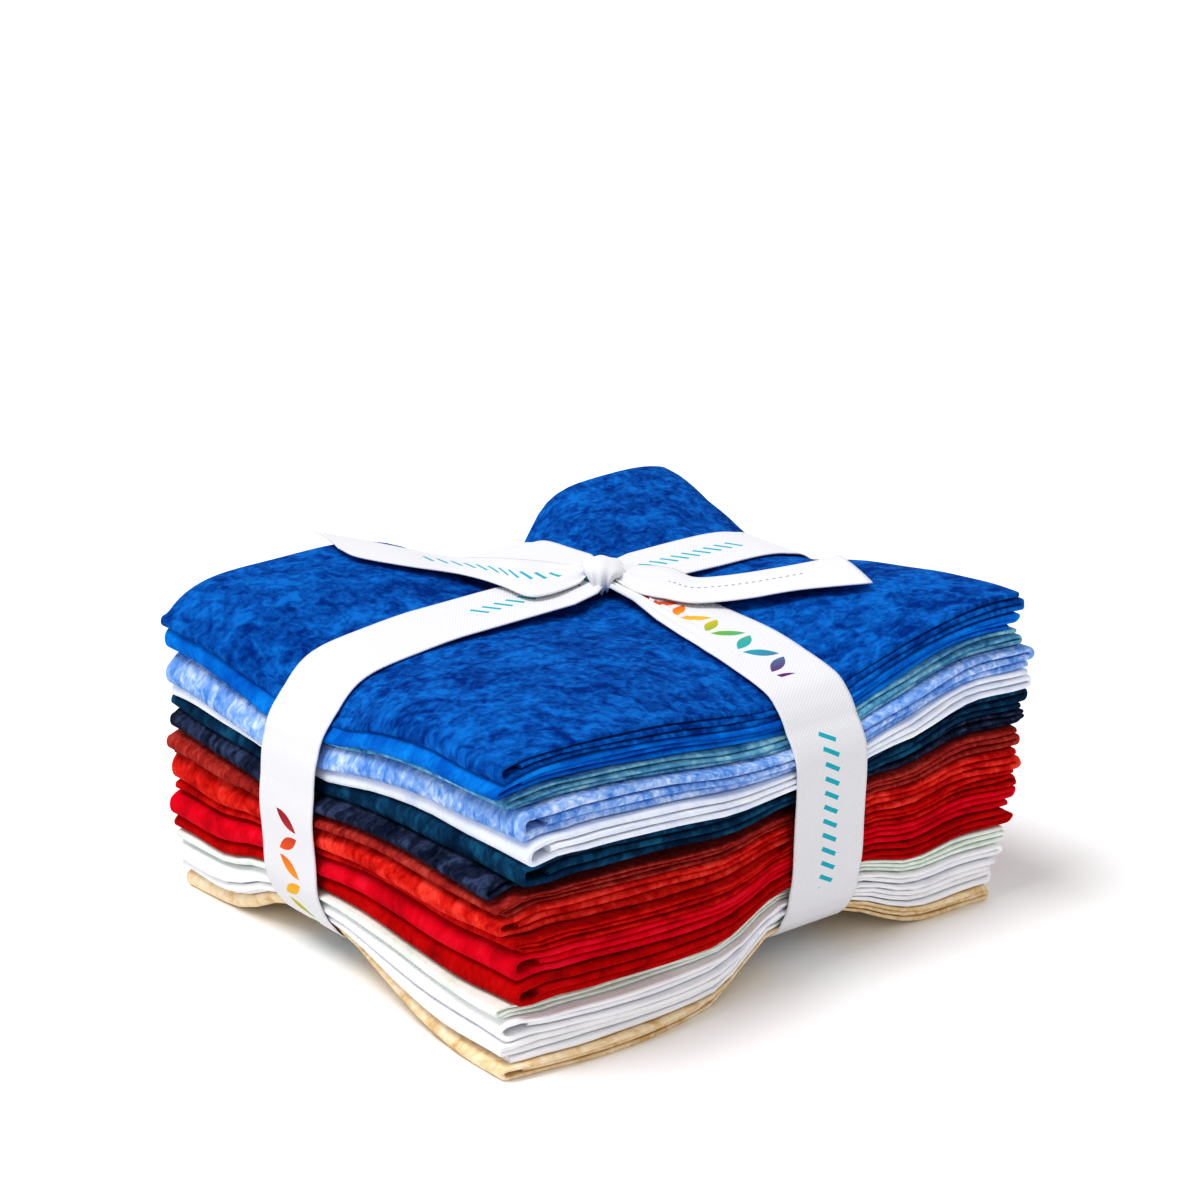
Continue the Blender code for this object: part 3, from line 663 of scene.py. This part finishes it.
# The print as steps of arithmetic. Each row names its result, its operation and what it
# works on, which is a number or the name of an earlier result.
PRINT_STEPS = (
    ("run", "MULTIPLY_ADD", "along", 1.0 / MM, "start"),
    ("wide", "MULTIPLY", "across", 1.0 / MM),
    ("group", "FLOORED_MODULO", "run", PRINT_REPEAT),
    ("leaf_cell", "DIVIDE", "group", LEAF_PITCH),
    ("leaf_number", "FLOOR", "leaf_cell"),
    ("leaf_part", "FRACT", "leaf_cell"),
    ("leaf_x", "MULTIPLY_ADD", "leaf_part", LEAF_PITCH, -0.5 * LEAF_PITCH),
    ("leaf_odd", "FLOORED_MODULO", "leaf_number", 2.0),
    ("leaf_lean", "MULTIPLY_ADD", "leaf_odd", 2.0, -1.0),
    ("leaf_y", "MULTIPLY", "wide", "leaf_lean"),
    ("leaf_x_along", "MULTIPLY", "leaf_x", LEAN_ALONG),
    ("leaf_x_over", "MULTIPLY", "leaf_x", LEAN_ACROSS),
    ("leaf_along", "MULTIPLY_ADD", "leaf_y", LEAN_ACROSS, "leaf_x_along"),
    ("leaf_over", "MULTIPLY_ADD", "leaf_y", -LEAN_ALONG, "leaf_x_over"),
    ("leaf_out", "DIVIDE", "leaf_along", LEAF_LONG),
    ("leaf_square", "MULTIPLY", "leaf_out", "leaf_out"),
    ("leaf_half", "MULTIPLY_ADD", "leaf_square", -LEAF_WIDE, LEAF_WIDE),
    ("leaf_off", "ABSOLUTE", "leaf_over"),
    ("leaf_shape", "LESS_THAN", "leaf_off", "leaf_half"),
    ("leaf_here", "LESS_THAN", "group", LEAF_ROW_END),
    ("leaf", "MULTIPLY", "leaf_shape", "leaf_here"),
    ("rainbow_at", "DIVIDE", "group", LEAF_ROW_END),
    ("dash_cell", "DIVIDE", "group", DASH_PITCH),
    ("dash_part", "FRACT", "dash_cell"),
    ("dash_x", "MULTIPLY_ADD", "dash_part", DASH_PITCH, -0.5 * DASH_PITCH),
    ("dash_x_along", "MULTIPLY", "dash_x", LEAN_ALONG),
    ("dash_x_over", "MULTIPLY", "dash_x", LEAN_ACROSS),
    ("dash_along", "MULTIPLY_ADD", "wide", LEAN_ACROSS, "dash_x_along"),
    ("dash_over", "MULTIPLY_ADD", "wide", -LEAN_ALONG, "dash_x_over"),
    ("dash_far", "ABSOLUTE", "dash_along"),
    ("dash_off", "ABSOLUTE", "dash_over"),
    ("dash_long", "LESS_THAN", "dash_far", DASH_LONG),
    ("dash_thin", "LESS_THAN", "dash_off", DASH_WIDE),
    ("dash_begun", "GREATER_THAN", "group", DASH_ROW[0]),
    ("dash_ended", "LESS_THAN", "group", DASH_ROW[1]),
    ("dash_shape", "MULTIPLY", "dash_long", "dash_thin"),
    ("dash_here", "MULTIPLY", "dash_begun", "dash_ended"),
    ("dash", "MULTIPLY", "dash_shape", "dash_here"),
    ("dot_cell", "DIVIDE", "group", DOT_PITCH),
    ("dot_part", "FRACT", "dot_cell"),
    ("dot_x", "MULTIPLY_ADD", "dot_part", DOT_PITCH, -0.5 * DOT_PITCH),
    ("dot_x_square", "MULTIPLY", "dot_x", "dot_x"),
    ("dot_square", "MULTIPLY_ADD", "wide", "wide", "dot_x_square"),
    ("dot_shape", "LESS_THAN", "dot_square", DOT_RADIUS ** 2),
    ("dot_begun", "GREATER_THAN", "group", DOT_ROW[0]),
    ("dot_ended", "LESS_THAN", "group", DOT_ROW[1]),
    ("dot_here", "MULTIPLY", "dot_begun", "dot_ended"),
    ("dot_inked", "MULTIPLY", "dot_here", "dot_ink"),
    ("dot", "MULTIPLY", "dot_shape", "dot_inked"),
    ("slant", "MULTIPLY_ADD", "wide", TWILL_SLANT, "run"),
    ("ridge_turn", "MULTIPLY", "slant", 2.0 * math.pi / TWILL_MM),
    ("ridge", "SINE", "ridge_turn"),
    ("pick_turn", "MULTIPLY", "wide", 2.0 * math.pi / PICK_MM),
    ("picks", "SINE", "pick_turn"),
    ("twill", "MULTIPLY_ADD", "picks", PICK_HIGH, "ridge"),
)
RIBBON_WHITE = "E6E6EA"
DASH_TEAL = "22AFC0"
DOT_GREY = "8C8C98"
RAINBOW_ENDS = ((0.04, "A01830"), (0.96, "6A2A78"))
RAINBOW = ((0.2, "E85A1C"), (0.38, "F5B92A"), (0.56, "6FB53A"), (0.75, "17A9BE"))

# How far along the print each stretch of the ribbon starts, and how strong its dots are
PRINT_STARTS = {
    "length": (72.0, 0.0), "width": (-14.0, 0.0), "knot": (115.0, 0.0),
    "left": (66.0, 0.0), "right": (116.0, 1.0),
}


def printed_ribbon(stretch):
    """White woven ribbon of cotton twill with a small bright print on its face.

    The print repeats along the ribbon: a row of slanting leaves that runs through the
    rainbow, a row of teal dashes and, where it is inked, a row of small grey dots. The
    twill shows as fine slanting ridges.
    """
    start_mm, dot_ink = PRINT_STARTS[stretch]
    material = bpy.data.materials.new(f"printed_twill_ribbon_{stretch}")
    material.use_nodes = True
    tree = material.node_tree
    shader = tree.nodes["Principled BSDF"]
    place = add_node(tree, "ShaderNodeUVMap", {"uv_map": "UVMap"}, {}).outputs["UV"]
    split = add_node(tree, "ShaderNodeSeparateXYZ", {}, {0: place})
    results = {
        "along": split.outputs["X"], "across": split.outputs["Y"], "start": start_mm, "dot_ink": dot_ink}
    for result, operation, *values in PRINT_STEPS:
        inputs = {socket: results.get(value, value) for socket, value in enumerate(values)}
        results[result] = add_node(tree, "ShaderNodeMath", {"operation": operation}, inputs).outputs[0]

    rainbow = add_node(tree, "ShaderNodeValToRGB", {}, {"Fac": results["rainbow_at"]})
    stops = rainbow.color_ramp.elements
    for end, (position, colour) in enumerate(RAINBOW_ENDS):
        stops[end].position = position
        stops[end].color = linear(colour)
    for position, colour in RAINBOW:
        stops.new(position).color = linear(colour)
    inks = {"leaf": rainbow.outputs["Color"], "dash": linear(DASH_TEAL), "dot": linear(DOT_GREY)}
    face = linear(RIBBON_WHITE)
    for ink, colour in inks.items():
        face = add_node(tree, "ShaderNodeMix", {"data_type": "RGBA"}, {
            "Factor": results[ink], 6: face, 7: colour}).outputs[2]
    tree.links.new(face, shader.inputs["Base Color"])
    bump = add_node(tree, "ShaderNodeBump", {}, {
        "Strength": 0.4, "Distance": TWILL_DEEP * MM, "Height": results["twill"]})
    tree.links.new(bump.outputs["Normal"], shader.inputs["Normal"])
    shader.inputs["Roughness"].default_value = 0.7
    shader.inputs["Specular IOR Level"].default_value = 0.15
    return material


off_long = cloth_points[:, 1] - TIE_Y - LONG_BAND_SLOPE * (cloth_points[:, 0] - TIE_X)
under_long = cloth_points[np.abs(off_long) < BAND_HALF][:, [0, 2]]
points, along, across = band_surface(under_long, TIE_X, TIE_Y, LONG_BAND_SLOPE, LONG_GATHERS)
long_band = add_piece(
    "ribbon_round_length", grid_mesh("ribbon_round_length", points, along, across),
    printed_ribbon("length"), RIBBON_THICK, "ribbon_long_band")

# The short band passes outside the long one under the stack
off_short = cloth_points[:, 0] - TIE_X - SHORT_BAND_SLOPE * (cloth_points[:, 1] - TIE_Y)
under_short = cloth_points[np.abs(off_short) < BAND_HALF][:, [1, 2]]
crossing_z = points[..., 2].min() - BANDS_APART
crossing = [(TIE_Y + side * BAND_HALF, crossing_z) for side in (-1.0, 1.0)]
points, along, across = band_surface(
    np.concatenate([under_short, crossing]), TIE_Y, TIE_X, SHORT_BAND_SLOPE, SHORT_GATHERS)
short_band = add_piece(
    "ribbon_round_width", grid_mesh("ribbon_round_width", points[..., [1, 0, 2]], along, across),
    printed_ribbon("width"), RIBBON_THICK, "ribbon_short_band")

# The knot. The ribbon is wrapped once over the crossing and drawn tight. Its width rolls
# up into a soft flat tube, which is pinched at the foot and creased into pleats there.
# Its directions are those along its roll, out at its front and up.
KNOT_AXIS = np.array([0.78, -0.626, 0.0])
KNOT_FRONT = np.array([-0.626, -0.78, 0.0])
KNOT_UP = np.array([0.0, 0.0, 1.0])
KNOT_TURN = (3.6, -1.1)
KNOT_DEEP = (7.6, 4.6)
KNOT_SQUARE = 0.5
KNOT_HIGH = 3.8
KNOT_ROLL = 2.95
KNOT_PLEATS = 3.5
KNOT_HIDDEN_PLEAT = 0.95
KNOT_HIDDEN_FROM = (0.5, 0.68)
KNOT_FLARE = 1.6
KNOT_FLARE_AT = 1.4
KNOT_FLARE_SPREAD = 0.7
KNOT_FLARE_DROP = 0.8

# Half the rolled width, the depth of the roll and that of its creases, at turns in radians
KNOT_TURNS = (-1.1, -0.5, 0.2, 0.9, 1.6, 2.3, 3.6)
KNOT_HALF = (2.0, 2.3, 3.0, 3.8, 4.6, 4.8, 4.2)
KNOT_ROLL_DEEP = (2.0, 2.1, 2.1, 1.9, 1.7, 1.6, 1.4)
KNOT_PLEAT_DEEP = (0.5, 0.46, 0.32, 0.14, 0.05, 0.2, 0.4)
KNOT_ROUND = 72
KNOT_ACROSS = 81


def knot_surface():
    """The wrap: a squared ellipse round the crossing that carries a rolled width.

    Across, the ribbon follows an arc of an ellipse, so its edges roll in under it. Cosine
    creases run over it, which grow towards the foot and are deep where it is rolled in.
    Its +X side flares out over the arm there, by a bell curve about the top.
    """
    turn = np.linspace(*KNOT_TURN, KNOT_ROUND)[:, None]
    over = np.linspace(-1.0, 1.0, KNOT_ACROSS)[None, :]
    half, deep, crease = (
        np.interp(turn, KNOT_TURNS, values) for values in (KNOT_HALF, KNOT_ROLL_DEEP, KNOT_PLEAT_DEEP))
    hidden = np.clip((np.abs(over) - KNOT_HIDDEN_FROM[0]) / np.diff(KNOT_HIDDEN_FROM), 0.0, 1.0)
    roll = KNOT_ROLL * over
    pleat = between(crease, KNOT_HIDDEN_PLEAT, hidden) * np.cos(2.0 * math.pi * KNOT_PLEATS * over)
    inward = deep * (1.0 - np.cos(roll)) - pleat
    flare = KNOT_FLARE * np.exp(-((turn - KNOT_FLARE_AT) / KNOT_FLARE_SPREAD) ** 2)
    flare = flare * np.clip(np.sin(roll), 0.0, 1.0) ** 2
    reach = np.where(np.cos(turn) > 0.0, *KNOT_DEEP)
    front = np.sign(np.cos(turn)) * np.abs(np.cos(turn)) ** KNOT_SQUARE
    place = KNOT_AXIS * (half * np.sin(roll) + flare)[..., None]
    place = place + KNOT_FRONT * ((reach - inward) * front)[..., None]
    place = place + KNOT_UP * ((KNOT_HIGH - inward) * np.sin(turn) - KNOT_FLARE_DROP * flare)[..., None]
    middle = place[:, KNOT_ACROSS // 2]
    run = np.concatenate([[0.0], np.cumsum(np.linalg.norm(np.diff(middle, axis=0), axis=1))])
    return place + (TIE_X, TIE_Y, knot_z), run, RIBBON_HALF * over[0]


points, along, across = knot_surface()
knot = add_piece(
    "ribbon_knot_wrap", grid_mesh("ribbon_knot_wrap", points, along, across),
    printed_ribbon("knot"), RIBBON_THICK, "ribbon_knot")

# The loose ends. Both leave the knot gathered, open out to the ribbon's full width and lie
# over the arms of the tie, and each is cut off at a slant with scissors.

# Rows from the knot to the cut: a point on one edge, then the point across from it
TAILS = {
    "left": (
        (11.6, 13.6, 76.9, 14.9, 17.6, 79.2),
        (7.4, 11.2, 76.6, 12.6, 22.4, 78.0),
        (-2.8, 9.4, 76.8, 12.7, 30.0, 76.6),
        (-7.9, 11.9, 76.9, 7.0, 36.1, 76.9),
        (-8.1, 22.6, 76.9, 4.0, 44.8, 75.5),
        (-10.9, 35.0, 77.0, -1.9, 51.5, 75.2),
        (-21.0, 43.5, 79.0, -10.4, 56.0, 77.7),
        (-29.1, 52.8, 80.6, -17.7, 62.4, 79.6),
        (-30.6, 59.3, 81.6, -27.2, 74.6, 81.2),
    ),
    "right": (
        (16.9, 8.6, 76.4, 20.6, 11.6, 79.0),
        (16.4, 3.8, 76.0, 24.6, 10.6, 78.4),
        (16.2, -2.8, 76.0, 29.2, 8.2, 77.8),
        (18.6, -8.6, 76.0, 32.2, 3.6, 77.4),
        (20.9, -14.9, 76.2, 33.4, -2.2, 76.6),
        (25.2, -18.6, 76.4, 39.3, -5.9, 76.6),
        (32.1, -24.7, 77.6, 48.3, -10.7, 77.4),
        (42.3, -31.3, 79.3, 58.8, -16.7, 79.0),
        (55.8, -42.6, 81.2, 66.0, -19.8, 80.0),
    ),
}
TAIL_STEPS = 96
TAIL_WIDE_STEPS = 21
TAIL_CUP = 0.5
TAIL_CREASE_MM = 8.0
TAIL_CREASES = 2.5
TAIL_CREASE_DEEP = 0.45


def smooth_rows(rows, steps):
    """Even steps on a curve through the rows: cubics, with the mean slope of both sides."""
    rows = np.array(rows)
    slope = np.gradient(rows, axis=0)
    at = np.linspace(0.0, len(rows) - 1.0, steps)
    first = np.minimum(at.astype(int), len(rows) - 2)
    t = (at - first)[:, None]
    start, end = rows[first], rows[first + 1]
    return (
        (2 * t ** 3 - 3 * t ** 2 + 1) * start + (t ** 3 - 2 * t ** 2 + t) * slope[first]
        + (3 * t ** 2 - 2 * t ** 3) * end + (t ** 3 - t ** 2) * slope[first + 1])


def tail_surface(rows):
    """A loose end between its two edges, cupped across by a parabola.

    Cosine creases fan out from the knot and die away along it.
    """
    edges = smooth_rows(rows, TAIL_STEPS)
    near, far = edges[:, None, :3], edges[:, None, 3:]
    wide = np.linspace(0.0, 1.0, TAIL_WIDE_STEPS)[None, :, None]
    place = between(near, far, wide)
    normal = np.cross(np.gradient(place, axis=0), far - near)
    normal *= np.sign(normal[..., 2:]) / np.linalg.norm(normal, axis=-1, keepdims=True)
    middle = 0.5 * (near + far)[:, 0]
    run = np.concatenate([[0.0], np.cumsum(np.linalg.norm(np.diff(middle, axis=0), axis=1))])
    crease = TAIL_CREASE_DEEP * np.exp(-run / TAIL_CREASE_MM)[:, None, None]
    crease = crease * np.cos(2.0 * math.pi * TAIL_CREASES * wide)
    place = place + normal * (TAIL_CUP * 4.0 * wide * (1.0 - wide) + crease)
    return place, run, RIBBON_HALF * (2.0 * wide[0, :, 0] - 1.0)


for side, rows in TAILS.items():
    points, along, across = tail_surface(rows)
    tail = add_piece(
        f"ribbon_end_{side}", grid_mesh(f"ribbon_end_{side}", points, along, across),
        printed_ribbon(side), RIBBON_THICK, f"ribbon_{side}_tail")

# The floor is a plain pale table top, painted matt, in a white room. It only shows as the
# soft shadow round the foot of the stack.
FLOOR_HALF = 3.0
floor_corners = [(FLOOR_HALF * x, FLOOR_HALF * y, 0.0) for x, y in ((-1, -1), (1, -1), (1, 1), (-1, 1))]
floor_mesh = bpy.data.meshes.new("table_top")
floor_mesh.from_pydata(floor_corners, [], [(0, 1, 2, 3)])
floor = bpy.data.objects.new("table_top", floor_mesh)
bpy.context.scene.collection.objects.link(floor)
painted_table = bpy.data.materials.new("painted_table")
painted_table.use_nodes = True
paint = painted_table.node_tree.nodes["Principled BSDF"]
paint.inputs["Base Color"].default_value = linear("FDFDFD")
paint.inputs["Roughness"].default_value = 0.7
floor_mesh.materials.append(painted_table)

# The light is that of a white room, with a very large soft panel high up on the left. The
# picture is shown plainly, with somewhat more contrast.
ROOM_LIGHT = 0.56
world = bpy.data.worlds.new("white_room")
world.use_nodes = True
room = world.node_tree.nodes["Background"]
room.inputs["Color"].default_value = linear("FFFFFF")
room.inputs["Strength"].default_value = ROOM_LIGHT
bpy.context.scene.world = world
bpy.context.scene.view_settings.view_transform = "Standard"
bpy.context.scene.view_settings.look = "Medium High Contrast"

LAMP_FROM = np.array([-0.38, 0.14, 0.91])
LAMP_SOFT = 28.0
LAMP_POWER = 1.7
lamp_light = bpy.data.lights.new("soft_panel", "SUN")
lamp_light.angle = math.radians(LAMP_SOFT)
lamp_light.energy = LAMP_POWER
lamp = bpy.data.objects.new("soft_panel", lamp_light)
bpy.context.scene.collection.objects.link(lamp)
lamp_tilt = math.acos(LAMP_FROM[2] / np.linalg.norm(LAMP_FROM))
lamp.rotation_euler = (lamp_tilt, 0.0, math.atan2(LAMP_FROM[0], -LAMP_FROM[1]))

# The camera has a long lens, and looks at the near corner from somewhat above the top.
CAMERA_AT = np.array([-482.8, -607.8, 349.6])
CAMERA_TARGET = np.array([5.4, 0.0, 76.2])
CAMERA_VIEW = 20.0
CAMERA_NEAREST = 0.01
lens = bpy.data.cameras.new("camera")
lens.angle = math.radians(CAMERA_VIEW)
lens.clip_start = CAMERA_NEAREST
camera = bpy.data.objects.new("camera", lens)
bpy.context.scene.collection.objects.link(camera)
sight = (CAMERA_TARGET - CAMERA_AT) / np.linalg.norm(CAMERA_TARGET - CAMERA_AT)
camera.location = (CAMERA_AT + STACK_MIDDLE) * MM
camera.rotation_euler = (math.acos(-sight[2]), 0.0, math.atan2(-sight[0], sight[1]))
bpy.context.scene.camera = camera
